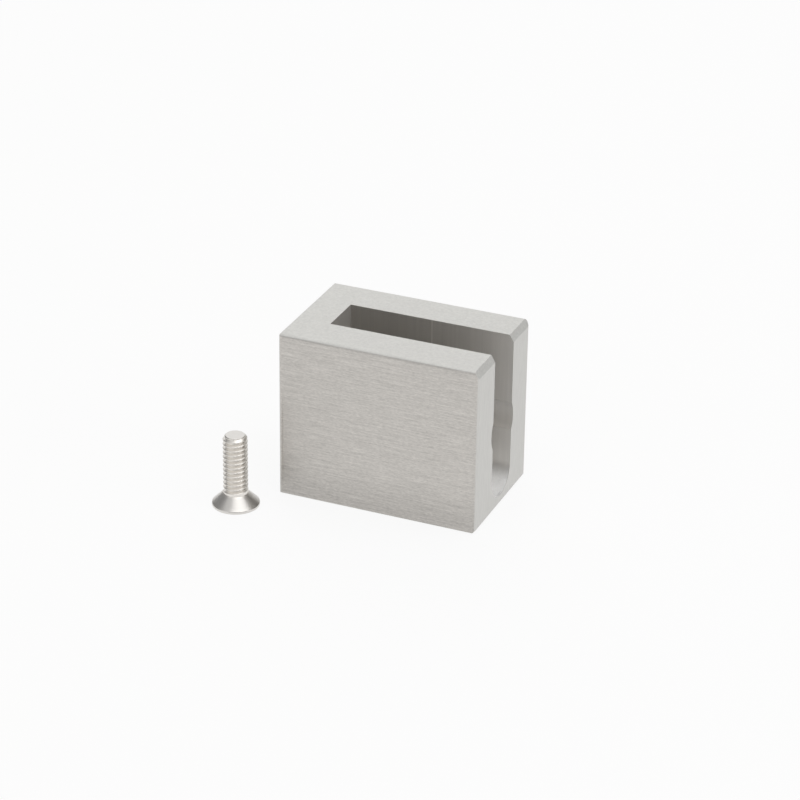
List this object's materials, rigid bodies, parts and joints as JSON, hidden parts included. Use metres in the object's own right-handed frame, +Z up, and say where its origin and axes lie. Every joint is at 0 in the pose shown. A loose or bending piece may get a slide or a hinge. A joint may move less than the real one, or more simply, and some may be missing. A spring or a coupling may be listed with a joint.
{
  "type": "glass panel clamp",
  "caption": "Solid metal block clamp with a slot for a glass panel edge, open at the top and one end, with its loose countersunk fixing screw.",
  "frame": {"origin": "centre of the block's underside, on the surface that the block and its loose screw stand on", "axes": "+X along the slot from the closed end wall to the open end, +Z up out of the slot's open top, +Y across the slot"},
  "size_m": [0.0437, 0.0326, 0.0291],
  "materials": {
    "satin_steel": "fine brushed grain along the cheeks, matt ground top",
    "bright_steel": "bright turned and rolled stainless steel"
  },
  "bodies": {
    "root": {"clamp_block": "satin_steel", "fixing_screw": "bright_steel"}
  },
  "joints": []
}
